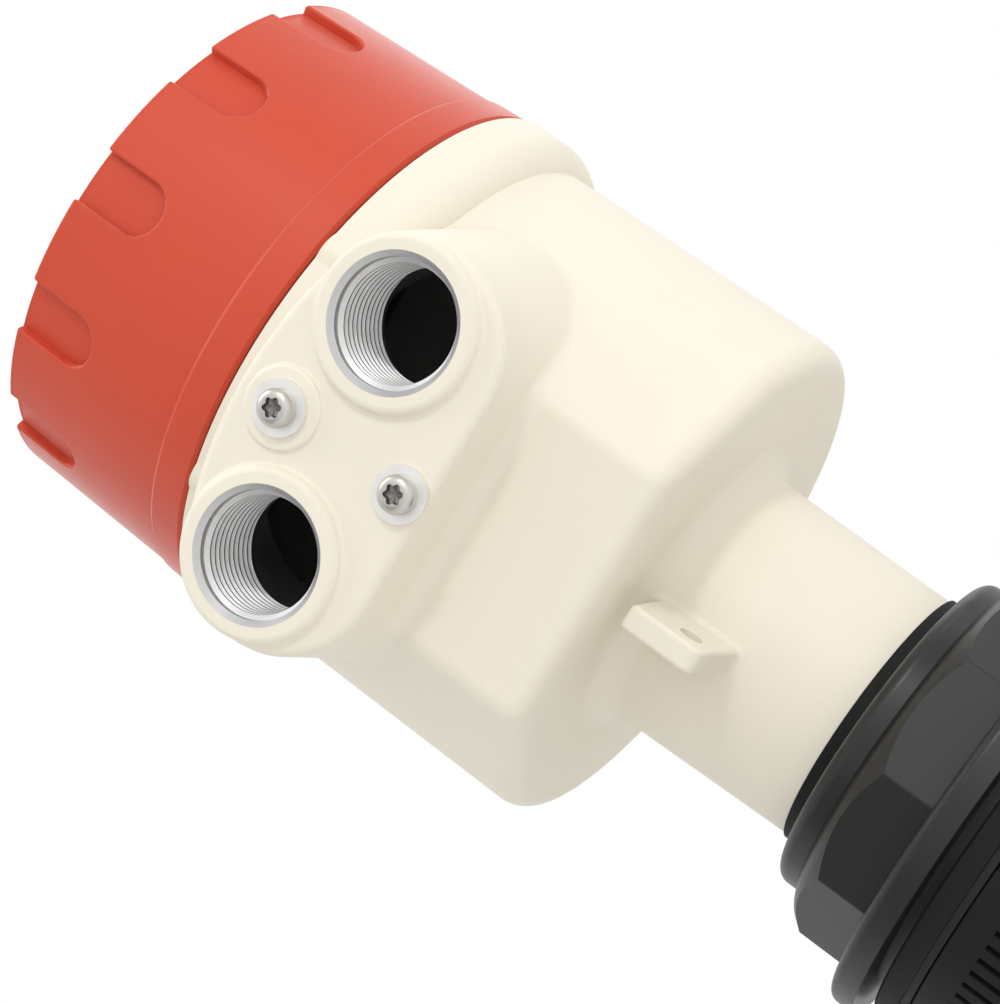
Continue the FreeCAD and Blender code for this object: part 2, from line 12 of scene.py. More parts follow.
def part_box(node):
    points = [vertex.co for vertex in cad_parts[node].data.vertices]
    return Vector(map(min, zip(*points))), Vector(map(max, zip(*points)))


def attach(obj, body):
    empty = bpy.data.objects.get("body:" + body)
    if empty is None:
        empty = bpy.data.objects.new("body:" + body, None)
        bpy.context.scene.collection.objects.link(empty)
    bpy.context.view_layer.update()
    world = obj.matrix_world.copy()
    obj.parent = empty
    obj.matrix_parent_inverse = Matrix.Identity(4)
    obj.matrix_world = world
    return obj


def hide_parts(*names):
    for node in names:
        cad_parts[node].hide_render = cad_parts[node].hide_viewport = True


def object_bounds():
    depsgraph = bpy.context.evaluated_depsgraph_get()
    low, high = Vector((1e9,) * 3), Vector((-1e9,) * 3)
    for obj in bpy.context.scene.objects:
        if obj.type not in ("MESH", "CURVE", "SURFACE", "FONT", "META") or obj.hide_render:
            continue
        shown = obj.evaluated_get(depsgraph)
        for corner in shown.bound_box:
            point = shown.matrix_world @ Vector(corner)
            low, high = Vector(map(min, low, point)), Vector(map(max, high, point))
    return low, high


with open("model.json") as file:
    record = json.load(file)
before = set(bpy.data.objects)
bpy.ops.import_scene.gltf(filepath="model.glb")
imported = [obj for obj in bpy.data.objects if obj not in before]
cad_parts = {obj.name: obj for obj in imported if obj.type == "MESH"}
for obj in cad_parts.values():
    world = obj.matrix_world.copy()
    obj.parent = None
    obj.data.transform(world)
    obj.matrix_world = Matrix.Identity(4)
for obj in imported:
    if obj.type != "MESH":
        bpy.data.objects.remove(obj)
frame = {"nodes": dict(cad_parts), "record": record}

bl_info = {
    "name": "Ultrasonic Level Meter",
    "version": (1, 0, 0),
    "blender": (4, 5, 0),
    "location": "3D View > Sidebar > Level Meter",
    "description": "Finishes, threads, screw heads and studio of an ultrasonic level meter",
    "category": "Object",
}

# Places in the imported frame, in metres
CAD_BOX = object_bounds()
MOUNTS = {mount["name"]: mount for mount in frame["record"]["mounts"]}
ENTRIES = (MOUNTS["conduit_entry_left"], MOUNTS["conduit_entry_right"])
ENTRY_RADIUS = ENTRIES[0]["dims"]["r_mm"] / 1000
ENTRY_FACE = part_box("housing")[0].y
CHAMBER_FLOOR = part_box("module_pot")[0].z
RIM_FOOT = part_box("cap_seal")[0].z
CAP_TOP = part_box("cap")[1].z
NUT_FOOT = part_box("lock_nut")[0].z
NUT_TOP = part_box("lock_nut")[1].z

# Turns of pieces that are modelled along Z
ALONG_Y = (math.radians(-90), 0.0, 0.0)
OUT_OF_PLATE = (math.radians(90), 0.0, 0.0)
UPRIGHT = (0.0, 0.0, 0.0)

# A thread's ridge: its sunk foot as a share of its height, half its foot and half its crest as shares
# of the pitch, full heights that it rises in one turn at its ends, and its scale at the very end
RIDGE_SUNK = 0.12
RIDGE_FOOT = 0.41
RIDGE_CREST = 0.1
RIDGE_RISE = 3.0
RIDGE_END = 0.02
NUT_PLAIN_TURNS = 0.6

# A plate screw: shank and tip as shares of the head's and shank's radius, flank and crown of the head's
# height, and the rings of the recess as shares of its outline and depth
SHANK_SHARE = 0.5
TIP_SHARE = 0.6
TIP_TAPER = 0.4
FLANK_SHARE = 0.36
CROWN_SHARE = 0.6
CROWN_STEPS = 6
HEAD_STEPS = 96
LOBES = 6
LIP_FLARE = 1.06
LIP_DEPTH = 0.00008
RECESS_RINGS = ((0.93, 0.8), (0.5, 1.0))
RECESS_TIP_RADIUS = 0.0001
RECESS_TIP_SHARE = 1.1

# Margins by which the masks of the finishes clear the surfaces at their limits, and the distances
# below the cap's top between which its paint turns dull, in millimetres
MASK_EDGE = 0.05
FINE_EDGE = 0.02
LIP_EDGE = 0.12
DULL_EDGES = (1.5, 0.1)

# Meshes: angle from which an edge is sharp, and distance within which points are one
SHARP_ANGLE = math.radians(32)
MERGE_DISTANCE = 1e-7

# Studio, in metres: place and size of each soft box, cosines between which the surround's gap
# darkens, the camera's sensor and nearest sight, and the floor with the radii of its fade
PANELS = {
    "top": ((0.0, -0.23, 1.24), 0.7),
    "side": ((1.03, 0.21, 0.43), 0.45),
    "front": ((0.53, -0.94, 0.43), 0.7),
    "key": ((0.76, -0.76, 0.47), 0.08),
    "back": ((0.47, 0.73, 0.83), 0.7),
}
GAP_EDGES = (0.86, 0.94)
SENSOR_WIDTH_MM = 36.0
NEAREST = 0.01
WHITE = (1.0, 1.0, 1.0)
FLOOR_RADIUS = 3.0
FLOOR_SIDES = 128
FLOOR_GAP = 0.0002
FADE_START = 0.15
FADE_END = 1.1

# Moulded and cast finishes: roughness, size and depth of the grain in millimetres, and gloss
Moulding = namedtuple("Moulding", "roughness grain depth gloss", defaults=(0.5,))
MOULDINGS = {
    "black_plastic": Moulding(0.30, 0.35, 0.006),
    "black_rubber": Moulding(0.58, 0.4, 0.01, 0.25),
    "grey_plastic": Moulding(0.5, 0.5, 0.006, 0.25),
    "module_plastic": Moulding(0.42, 0.3, 0.01),
    "white_plastic": Moulding(0.38, 0.4, 0.005),
    "terminal_plastic": Moulding(0.36, 0.4, 0.006),
    "syntactic_foam": Moulding(0.7, 0.25, 0.03),
    "piezo_ceramic": Moulding(0.5, 0.2, 0.01),
    "backing_epoxy": Moulding(0.45, 0.8, 0.02),
    "potting_epoxy": Moulding(0.22, 2.5, 0.02),
    "lead_jacket": Moulding(0.5, 0.5, 0.01),
}
NUT_MOULDING = Moulding(0.42, 0.3, 0.008, 0.2)


def number(name, description, default):
    return FloatProperty(name=name, description=description, default=default)


def length(name, description, default):
    return FloatProperty(name=name, description=description, default=default, unit="LENGTH", precision=5)


def power(name, description, default):
    return FloatProperty(name=name, description=description, default=default, unit="POWER")


def colour(name, description, default):
    return FloatVectorProperty(name=name, description=description, default=default, subtype="COLOR",
                               min=0.0, max=1.0)


class MeterSizes(bpy.types.PropertyGroup):
    """Sizes of the threads and screw heads."""

    entry_pitch: length("Entry pitch", "Pitch of the conduit entries' thread", 0.0015)
    entry_thread_depth: length("Entry thread depth", "Height of the conduit entries' ridges", 0.0008)
    entry_mouth: length("Entry mouth", "Radius of the chamfer at the mouth of a conduit entry", 0.0109)
    entry_turns: number("Entry turns", "Turns of thread in a conduit entry", 10.0)
    entry_depth: length("Entry depth", "How far in from the bosses the machined bores reach", 0.034)
    process_pitch: length("Process pitch", "Pitch of the thread on the sensor tube", 0.002309)
    process_foot: length("Process foot", "A height at which the tube's ridge crosses the X axis", 0.0128)
    nut_bore: length("Nut bore", "Radius of the lock nut's plain bore", 0.0301)
    nut_thread_depth: length("Nut thread depth", "Height of the ridges in the lock nut", 0.0014)
    chamber_reach: length("Chamber reach", "Radius that holds the chamber but not the outside", 0.0458)
    rim_radius: length("Rim radius", "Radius of the housing's rim under its thread", 0.0434)
    cap_bore: length("Cap bore", "Radius of the cap's bore", 0.0447)
    cap_roof: length("Cap roof", "Thickness of the cap's roof", 0.004)
    rim_pitch: length("Rim pitch", "Pitch of the cap's thread", 0.002)
    rim_turns: number("Rim turns", "Turns of thread on the rim and in the cap", 6.0)
    rim_thread_depth: length("Rim thread depth", "Height of the ridges on the rim and in the cap", 0.0009)
    rim_thread_foot: length("Rim thread foot", "Height of the thread's start above the rim's foot", 0.0045)
    thread_steps: IntProperty(name="Thread steps", description="Points in one turn of a thread", default=96)
    head_radius: length("Head radius", "Radius of the plate screws' heads", 0.00305)
    head_height: length("Head height", "Height of the plate screws' heads", 0.0023)
    lobe_radius: length("Lobe radius", "Outer radius of the six-lobe recess", 0.00168)
    lobe_depth: length("Lobe depth", "Difference between the recess's outer and inner radius", 0.00042)
    recess_depth: length("Recess depth", "Depth of the six-lobe recess", 0.0014)


class MeterColours(bpy.types.PropertyGroup):
    """Colours of the finishes."""

    cream: colour("Cream", "Paint of the housing", (0.83, 0.775, 0.655))
    red: colour("Red", "Paint of the cap", (0.595, 0.067, 0.030))
    primer: colour("Primer", "Grey coat inside the chamber", (0.55, 0.54, 0.52))
    bare_metal: colour("Bare metal", "Machined aluminium of the threads", (0.67, 0.665, 0.66))
    steel: colour("Steel", "Screws of the conduit plate", (0.60, 0.575, 0.545))
    bright_steel: colour("Bright steel", "Washers and small screws", (0.93, 0.92, 0.90))
    black_plastic: colour("Black plastic", "Sensor and lock nut", (0.010, 0.010, 0.0105))
    black_rubber: colour("Black rubber", "Gaskets and sealing ring", (0.008, 0.008, 0.008))
    grey_plastic: colour("Grey plastic", "Slip washer", (0.016, 0.016, 0.016))
    module_plastic: colour("Module plastic", "Pot and lid of the electronics", (0.05, 0.058, 0.066))
    white_plastic: colour("White plastic", "Plug of the lead", (0.78, 0.76, 0.7))
    terminal_plastic: colour("Terminal plastic", "Terminal block", (0.04, 0.21, 0.09))
    syntactic_foam: colour("Syntactic foam", "Matching layer of the transducer", (0.72, 0.69, 0.58))
    piezo_ceramic: colour("Piezo ceramic", "Disc of the transducer", (0.52, 0.47, 0.37))
    backing_epoxy: colour("Backing epoxy", "Block behind the disc", (0.11, 0.1, 0.09))
    potting_epoxy: colour("Potting epoxy", "Fill of the sensor", (0.025, 0.025, 0.025))
    lead_jacket: colour("Lead jacket", "Lead of the transducer", (0.08, 0.08, 0.08))
    resist: colour("Resist", "Solder resist of the board", (0.012, 0.13, 0.05))
    light_resist: colour("Light resist", "Lighter fields of the resist", (0.015, 0.16, 0.06))
    tracks: colour("Tracks", "Copper tracks under the resist", (0.03, 0.26, 0.10))
    winding: colour("Winding", "Varnished wire of the transformer", (0.38, 0.16, 0.05))
    winding_gap_shade: colour("Winding gap", "Shade between the wire's turns", (0.10, 0.035, 0.012))
    sleeve: colour("Sleeve", "Shrink sleeve of the capacitor", (0.02, 0.03, 0.09))
    stripe: colour("Stripe", "Stripe on the capacitor's sleeve", (0.55, 0.57, 0.6))
    floor: colour("Floor", "Studio floor", (0.85, 0.845, 0.835))


class MeterStudio(bpy.types.PropertyGroup):
    """Camera and lights."""

    camera_place: FloatVectorProperty(name="Camera place", description="Where the camera stands",
                                      default=(0.0953, -0.4108, 0.0395), subtype="TRANSLATION",
                                      unit="LENGTH")
    camera_turn: FloatVectorProperty(name="Camera turn", description="Turn of the camera about X, Y and Z",
                                     default=[math.radians(a) for a in (118.743, 50.543, 36.895)],
                                     subtype="EULER", unit="ROTATION")
    lens: FloatProperty(name="Lens", description="Focal length of the camera", default=93.8, unit="CAMERA")
    surround: number("Surround", "Strength of the white surround as light", 0.88)
    gap: number("Gap", "How much darker the surround is at the front left", 0.62)
    gap_turn: FloatProperty(name="Gap turn", description="Azimuth of the gap, from the front to the right",
                            default=math.radians(-48), subtype="ANGLE")
    top: power("Top", "Power of the panel overhead", 3.2)
    side: power("Side", "Power of the panel on the right", 0.8)
    front: power("Front", "Power of the panel in front", 1.0)
    key: power("Key", "Power of the small key panel", 1.8)
    back: power("Back", "Power of the panel behind", 1.1)


class Socket:
    """A node's output in a tree: arithmetic on it adds Math nodes, and node() adds any other."""

    def __init__(self, tree, source=None):
        self.tree = tree
        self.source = source

    def node(self, kind, settings=None, inputs=None, output=0):
        made = self.tree.nodes.new(kind)
        for name, value in (settings or {}).items():
            setattr(made, name, value)
        for name, value in (inputs or {}).items():
            join(self.tree, value, made.inputs[name])
        return Socket(self.tree, made.outputs[output])

    def output(self, name):
        return Socket(self.tree, self.source.node.outputs[name])

    def maths(self, operation, *values):
        return self.node("ShaderNodeMath", {"operation": operation}, dict(enumerate(values)))

    def mix(self, first, second):
        """The first colour where this socket is 0, the second where it is 1."""
        return self.node("ShaderNodeMix", {"data_type": "RGBA"}, {0: self, 6: first, 7: second}, 2)

    def ramp(self, low, high):
        """0 at the low value, 1 at the high one, and a smooth step between them."""
        return self.node("ShaderNodeMapRange", {"interpolation_type": "SMOOTHSTEP"}, {
            "Value": self, "From Min": low, "From Max": high})

    def __add__(self, other):
        return self.maths("ADD", self, other)

    def __sub__(self, other):
        return self.maths("SUBTRACT", self, other)

    def __rsub__(self, other):
        return self.maths("SUBTRACT", other, self)

    def __mul__(self, other):
        return self.maths("MULTIPLY", self, other)

    def __lt__(self, other):
        return self.maths("LESS_THAN", self, other)

    def __gt__(self, other):
        return self.maths("GREATER_THAN", self, other)

    __radd__ = __add__
    __rmul__ = __mul__

    def root(self):
        return self.maths("SQRT", self)

    def either(self, other):
        """The larger of two masks."""
        return self.maths("MAXIMUM", self, other)


def join(tree, value, socket):
    """Links a Socket to a node's input, or sets the input to a plain value."""
    if isinstance(value, Socket):
        tree.links.new(value.source, socket)
    else:
        socket.default_value = value


def put_in_scene(name, data):
    """A new object with the given data, linked to the scene."""
    made = bpy.data.objects.new(name, data)
    bpy.context.scene.collection.objects.link(made)
    return made


# Finishes

def mm(metres):
    return metres * 1000


def opaque(tint):
    """A colour with full alpha, as a colour socket takes it."""
    return (*tint, 1.0)


def dimmed(tint, share):
    """A share of a colour, with full alpha."""
    return opaque(Vector(tint) * share)


def new_finish(name):
    """A material with its Principled shader, and Object coordinates in millimetres."""
    material = bpy.data.materials.new(name)
    material.use_nodes = True
    shader = material.node_tree.nodes["Principled BSDF"]
    metres = Socket(material.node_tree).node("ShaderNodeTexCoord", output="Object")
    place = metres.node("ShaderNodeVectorMath", {"operation": "SCALE"}, {0: metres, "Scale": mm(1.0)})
    return material, shader, place


def dress(shader, inputs):
    """Sets or links a shader's inputs by their names."""
    for name, value in inputs.items():
        join(shader.id_data, value, shader.inputs[name])


def axes(place):
    """X, Y and Z of a vector."""
    split = place.node("ShaderNodeSeparateXYZ", None, {0: place})
    return split, split.output("Y"), split.output("Z")


def distance(across, along):
    """How far a place is from an axis, by its two offsets from it."""
    return (across * across + along * along).root()


def noise(place, size, detail=2.0):
    """Noise with features about as many millimetres across as size says."""
    return place.node("ShaderNodeTexNoise", None, {"Vector": place, "Scale": 1.0 / size, "Detail": detail})


def stretched(place, scale):
    """Coordinates times a scale on each axis."""
    return place.node("ShaderNodeVectorMath", {"operation": "MULTIPLY"}, {0: place, 1: scale})


def bump(height, depth):
    """Normal of a surface that rises by depth, in millimetres, where height is 1."""
    return height.node("ShaderNodeBump", None, {"Height": height, "Distance": depth / mm(1.0)})


def cream_paint(colours, sizes):
    """Powder coat on the casting, primer in the chamber, bare metal in the entries and on the rim."""
    material, shader, place = new_finish("cream_paint")
    x, y, z = axes(place)
    entry = Vector(MOUNTS["conduit_entry_right"]["pos_m"])
    from_entry = distance(x.maths("ABSOLUTE", x) - mm(entry.x), z - mm(entry.z))
    in_bore = from_entry < mm(sizes.entry_mouth) + FINE_EDGE
    in_entry = in_bore * (y < mm(ENTRY_FACE + sizes.entry_depth))
    from_axis = distance(x, y)
    on_rim = (z > mm(RIM_FOOT) + MASK_EDGE) * (from_axis > mm(sizes.rim_radius) - MASK_EDGE)
    bare = in_entry.either(on_rim)
    inside = (from_axis < mm(sizes.chamber_reach)) * (z > mm(CHAMBER_FLOOR) - MASK_EDGE)
    shade = noise(place, size=18.0)
    paint = shade.mix(opaque(colours.cream), dimmed(colours.cream, 0.965))
    paint = inside.mix(paint, opaque(colours.primer))
    turning = noise(stretched(place, (0.4, 6.0, 0.4)), size=1.0)
    metal = turning.mix(dimmed(colours.bare_metal, 0.82), opaque(colours.bare_metal))
    peel = noise(place, size=1.3, detail=1.0)
    dress(shader, {
        "Base Color": bare.mix(paint, metal),
        "Metallic": bare,
        "Roughness": (0.44 + peel * 0.08) * (1 - bare) + (0.38 + turning * 0.2) * bare,
        "Specular IOR Level": 0.38,
        "Normal": bump(peel * (1 - bare) + turning * bare, depth=0.012),
    })
    return material


def red_paint(colours, sizes):
    """Powder coat of the cap, finer than the housing's, dull on its flat top, bare metal inside."""
    material, shader, place = new_finish("red_paint")
    x, y, z = axes(place)
    in_bore = distance(x, y) < mm(sizes.cap_bore) + MASK_EDGE
    bare = in_bore * (z < mm(CAP_TOP - sizes.cap_roof) + MASK_EDGE)
    dull = z.ramp(*(mm(CAP_TOP) - edge for edge in DULL_EDGES))
    shade = noise(place, size=14.0)
    peel = noise(place, size=1.0, detail=1.0)
    paint = shade.mix(opaque(colours.red), dimmed(colours.red, 0.93))
    dress(shader, {
        "Base Color": bare.mix(paint, dimmed(colours.bare_metal, 0.6)),
        "Metallic": bare,
        "Roughness": 0.36 + peel * 0.1 + dull * 0.4,
        "Specular IOR Level": 0.32,
        "Sheen Weight": 0.36,
        "Sheen Roughness": 0.3,
        "Normal": bump(peel, depth=0.012),
    })
    return material


def machined_metal(name, tint, roughness):
    """Turned metal: fine marks across Y and small changes of gloss."""
    material, shader, place = new_finish(name)
    marks = noise(stretched(place, (0.5, 5.0, 0.5)), size=0.5)
    patch = noise(place, size=3.0)
    dress(shader, {
        "Base Color": patch.mix(dimmed(tint, 0.86), opaque(tint)),
        "Metallic": 1.0,
        "Roughness": roughness + marks * 0.14,
        "Normal": bump(marks, depth=0.006),
    })
    return material


def screw_steel(colours, sizes, seats):
    """Turned steel, dull in the six-lobe recesses of the screws on the given seats, and darker there with
    painted shade.
    """
    material, shader, place = new_finish("screw_steel")
    x, y, z = axes(place)
    recesses = []
    for seat in seats:
        middle = Vector(seat)
        near = distance(x - mm(middle.x), z - mm(middle.z)) < mm(sizes.lobe_radius) + FINE_EDGE
        below_top = y > mm(middle.y - sizes.head_height) + LIP_EDGE
        recesses.append(near * below_top)
    recess = functools.reduce(Socket.either, recesses)
    marks = noise(place, size=0.6)
    dress(shader, {
        # Painted shade: the recesses take a darker steel colour.
        "Base Color": recess.mix(opaque(colours.steel), dimmed(colours.steel, 0.45)),
        "Metallic": 1.0,
        "Roughness": 0.3 + marks * 0.12 + recess * 0.2,
        "Normal": bump(marks, depth=0.006),
    })
    return material


def moulded(name, tint, moulding):
    """Plain moulded or cast finish: a fine grain, and faint patches."""
    material, shader, place = new_finish(name)
    fine = noise(place, moulding.grain)
    patch = noise(place, size=12.0, detail=3.0)
    dress(shader, {
        "Base Color": patch.mix(dimmed(tint, 0.8), opaque(tint)),
        "Roughness": moulding.roughness + fine * 0.08 + patch * 0.06,
        "Specular IOR Level": moulding.gloss,
        "Normal": bump(fine, moulding.depth),
    })
    return material


def board_laminate(colours):
    """Solder resist over copper tracks."""
    material, shader, place = new_finish("board_laminate")
    tracks = place.node("ShaderNodeTexBrick", None, {
        "Vector": place, "Scale": 0.24, "Mortar Size": 0.06, "Color1": opaque(colours.resist),
        "Color2": opaque(colours.light_resist), "Mortar": opaque(colours.tracks)})
    dress(shader, {"Base Color": tracks, "Roughness": 0.28 + noise(place, size=0.8) * 0.12})
    return material


def wound_copper(colours):
    """Varnished winding wire lying across the bobbin, with painted shade between its turns."""
    material, shader, place = new_finish("transformer_plastic")
    wire = place.node("ShaderNodeTexWave", {"bands_direction": "X"}, {"Vector": place, "Scale": 0.9})
    turns = wire.output("Fac")
    dress(shader, {
        # Painted shade: the gaps between the turns take the darker colour.
        "Base Color": turns.mix(opaque(colours.winding_gap_shade), opaque(colours.winding)),
        "Roughness": 0.4 - turns * 0.15,
        "Normal": bump(turns, depth=0.08),
    })
    return material


def capacitor_sleeve(colours):
    """Dark shrink sleeve with a pale stripe down one side."""
    material, shader, place = new_finish("capacitor_sleeve")
    x, y = axes(place)[:2]
    low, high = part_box("storage_capacitor")
    stripe_depth = 1.8
    stripe_edge = 2.0
    stripe = (x > mm(high.x) - stripe_depth) * (y < mm(low.y + high.y) / 2 + stripe_edge)
    dress(shader, {
        "Base Color": stripe.mix(opaque(colours.sleeve), opaque(colours.stripe)),
        "Roughness": 0.25 + noise(place, size=2.0) * 0.1,
    })
    return material


def finishes(colours, sizes):
    """A material for each slot of the record."""
    made = {name: moulded(name, getattr(colours, name), moulding) for name, moulding in MOULDINGS.items()}
    made["cream_paint"] = cream_paint(colours, sizes)
    made["red_paint"] = red_paint(colours, sizes)
    made["stainless"] = machined_metal("stainless", colours.bright_steel, roughness=0.46)
    made["transformer_plastic"] = wound_copper(colours)
    made["capacitor_sleeve"] = capacitor_sleeve(colours)
    made["board_laminate"] = board_laminate(colours)
    return made


# Geometry Nodes

def new_tree(name, inputs):
    """A Geometry Nodes tree with named inputs; returns it and its inputs' sockets by name."""
    tree = bpy.data.node_groups.new(name, "GeometryNodeTree")
    tree.interface.new_socket("Geometry", in_out="OUTPUT", socket_type="NodeSocketGeometry")
    tree.interface.new_socket("Places", in_out="INPUT", socket_type="NodeSocketGeometry")
    for socket_name, kind in inputs.items():
        tree.interface.new_socket(socket_name, in_out="INPUT", socket_type=kind)
    start = tree.nodes.new("NodeGroupInput")
    return tree, {socket.name: Socket(tree, socket) for socket in start.outputs if socket.name}


def end_tree(places, form, given):
    """Copies of a form on the places, turned, realised and given their material."""
    copies = form.node("GeometryNodeInstanceOnPoints", None, {
        "Points": places, "Instance": form, "Rotation": given["Turn"]})
    realised = copies.node("GeometryNodeRealizeInstances", None, {"Geometry": copies})
    finished = realised.node("GeometryNodeSetMaterial", None, {
        "Geometry": realised, "Material": given["Material"]})
    end = form.tree.nodes.new("NodeGroupOutput")
    form.tree.links.new(finished.source, end.inputs[0])


def thread_tree():
    """A helical ridge of four-sided section, running out at both ends."""
    tree, given = new_tree("screw_thread", {
        "Radius": "NodeSocketFloat", "Depth": "NodeSocketFloat", "Pitch": "NodeSocketFloat",
        "Turns": "NodeSocketFloat", "Steps": "NodeSocketInt", "Turn": "NodeSocketRotation",
        "Material": "NodeSocketMaterial"})
    path = given["Pitch"].node("GeometryNodeCurveSpiral", None, {
        "Resolution": given["Steps"], "Rotations": given["Turns"], "Start Radius": given["Radius"],
        "End Radius": given["Radius"], "Height": given["Pitch"] * given["Turns"], "Reverse": True})
    path = path.node("GeometryNodeSetCurveNormal", {"mode": "Z_UP"}, {"Curve": path})
    sunk = given["Depth"] * -RIDGE_SUNK
    corners = ((sunk, -RIDGE_FOOT), (given["Depth"], -RIDGE_CREST), (given["Depth"], RIDGE_CREST),
               (sunk, RIDGE_FOOT))
    section = given["Pitch"].node("GeometryNodeCurvePrimitiveQuadrilateral", {"mode": "POINTS"}, {
        "Point %d" % (index + 1): given["Pitch"].node("ShaderNodeCombineXYZ", None, {
            "X": reach, "Y": given["Pitch"] * share})
        for index, (reach, share) in enumerate(corners)})
    along = path.node("GeometryNodeSplineParameter")
    to_end = along.maths("MINIMUM", along, 1 - along) * given["Turns"] * RIDGE_RISE
    ridge = path.node("GeometryNodeCurveToMesh", None, {
        "Curve": path, "Profile Curve": section, "Fill Caps": True,
        "Scale": to_end.maths("MINIMUM", to_end.maths("MAXIMUM", to_end, RIDGE_END), 1.0)})
    end_tree(given["Places"], ridge, given)
    return tree


def copies_tree():
    """Copies of one modelled form on each place."""
    tree, given = new_tree("placed_copies", {
        "Form": "NodeSocketObject", "Turn": "NodeSocketRotation", "Material": "NodeSocketMaterial"})
    form = given["Places"].node("GeometryNodeObjectInfo", None, {"Object": given["Form"]}, "Geometry")
    end_tree(given["Places"], form, given)
    return tree


def grown(name, tree, places, values):
    """A piece grown by a tree on the given places, as a plain mesh object at the origin."""
    mesh = bpy.data.meshes.new(name)
    mesh.from_pydata(places, [], [])
    piece = put_in_scene(name, mesh)
    modifier = piece.modifiers.new(name, "NODES")
    modifier.node_group = tree
    for socket in tree.interface.items_tree:
        if socket.in_out == "INPUT" and socket.name in values:
            modifier[socket.identifier] = values[socket.name]
    graph = bpy.context.evaluated_depsgraph_get()
    grown_mesh = bpy.data.meshes.new_from_object(piece.evaluated_get(graph), depsgraph=graph)
    piece.modifiers.remove(modifier)
    piece.data = grown_mesh
    settle(grown_mesh)
    return piece


def settle(mesh):
    """Merges doubles, turns faces outwards, and shades smooth between sharp edges."""
    work = bmesh.new()
    work.from_mesh(mesh)
    bmesh.ops.remove_doubles(work, verts=work.verts, dist=MERGE_DISTANCE)
    bmesh.ops.recalc_face_normals(work, faces=work.faces)
    work.to_mesh(mesh)
    work.free()
    mesh.shade_smooth()
    mesh.set_sharp_from_angle(angle=SHARP_ANGLE)


def ringed(name, rings, steps):
    """A closed turned form about Z: each ring is (radius or function of the angle, height)."""
    work = bmesh.new()
    loops = []
    for radius, height in rings:
        loop = []
        for index in range(steps):
            angle = 2 * math.pi * index / steps
            reach = radius(angle) if callable(radius) else radius
            loop.append(work.verts.new((reach * math.cos(angle), reach * math.sin(angle), height)))
        loops.append(loop)
    for lower, upper in zip(loops, loops[1:]):
        for index in range(steps):
            after = (index + 1) % steps
            work.faces.new((lower[index], lower[after], upper[after], upper[index]))
    work.faces.new(loops[0])
    work.faces.new(loops[-1])
    mesh = bpy.data.meshes.new(name)
    work.to_mesh(mesh)
    work.free()
    return bpy.data.objects.new(name, mesh)


# Operators

class METER_OT_finishes(bpy.types.Operator):
    """Gives every solid of the meter its finish"""

    bl_idname = "meter.finishes"
    bl_label = "Finishes"

    def execute(self, context):
        colours = context.scene.meter_colours
        made = finishes(colours, context.scene.meter_sizes)
        for subpart in frame["record"]["subparts"]:
            node = frame["nodes"][subpart["node"]]
            node.material_slots[0].material = made[subpart["material_slot"]]
        nut_plastic = moulded("nut_plastic", colours.black_plastic, NUT_MOULDING)
        frame["nodes"]["lock_nut"].material_slots[0].material = nut_plastic
        return {"FINISHED"}


class METER_OT_entry_threads(bpy.types.Operator):
    """Threads the two conduit entries, from the chamfers at their mouths on"""

    bl_idname = "meter.entry_threads"
    bl_label = "Conduit entry threads"

    def execute(self, context):
        sizes = context.scene.meter_sizes
        bare_metal = context.scene.meter_colours.bare_metal
        metal = machined_metal("entry_thread_metal", bare_metal, roughness=0.42)
        first_turn = ENTRY_FACE + sizes.entry_mouth - ENTRY_RADIUS + sizes.entry_pitch / 2
        starts = [(mount["pos_m"][0], first_turn, mount["pos_m"][2]) for mount in ENTRIES]
        threads = grown("entry_threads", thread_tree(), starts, {
            "Radius": ENTRY_RADIUS, "Depth": -sizes.entry_thread_depth, "Pitch": sizes.entry_pitch,
            "Turns": sizes.entry_turns, "Steps": sizes.thread_steps, "Turn": ALONG_Y, "Material": metal})
        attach(threads, "housing")
        return {"FINISHED"}


class METER_OT_nut_thread(bpy.types.Operator):
    """Threads the lock nut, half a pitch off the thread of the tube in it"""

    bl_idname = "meter.nut_thread"
    bl_label = "Lock nut thread"

    def execute(self, context):
        sizes = context.scene.meter_sizes
        pitch = sizes.process_pitch
        turns_to_nut = math.ceil((NUT_FOOT - sizes.process_foot) / pitch)
        start = sizes.process_foot + (turns_to_nut + 0.5) * pitch
        nut = grown("nut_thread", thread_tree(), [(0, 0, start)], {
            "Radius": sizes.nut_bore, "Depth": -sizes.nut_thread_depth, "Pitch": pitch,
            "Turns": (NUT_TOP - start) / pitch - NUT_PLAIN_TURNS, "Steps": sizes.thread_steps,
            "Turn": UPRIGHT, "Material": bpy.data.materials["nut_plastic"]})
        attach(nut, "lock_nut")
        return {"FINISHED"}


class METER_OT_cap_thread(bpy.types.Operator):
    """Threads the housing's rim and the cap that screws on it"""

    bl_idname = "meter.cap_thread"
    bl_label = "Cap thread"

    def execute(self, context):
        sizes = context.scene.meter_sizes
        bare_metal = context.scene.meter_colours.bare_metal
        metal = machined_metal("rim_thread_metal", bare_metal, roughness=0.28)
        pitch = sizes.rim_pitch
        foot = RIM_FOOT + sizes.rim_thread_foot
        common = {"Pitch": pitch, "Turns": sizes.rim_turns, "Steps": sizes.thread_steps, "Turn": UPRIGHT}
        rim = grown("rim_thread", thread_tree(), [(0, 0, foot)], {
            "Radius": sizes.rim_radius, "Depth": sizes.rim_thread_depth, "Material": metal, **common})
        cap = grown("cap_thread", thread_tree(), [(0, 0, foot + 0.5 * pitch)], {
            "Radius": sizes.cap_bore, "Depth": -sizes.rim_thread_depth,
            "Material": bpy.data.materials["red_paint"], **common})
        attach(rim, "housing")
        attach(cap, "cap")
        return {"FINISHED"}


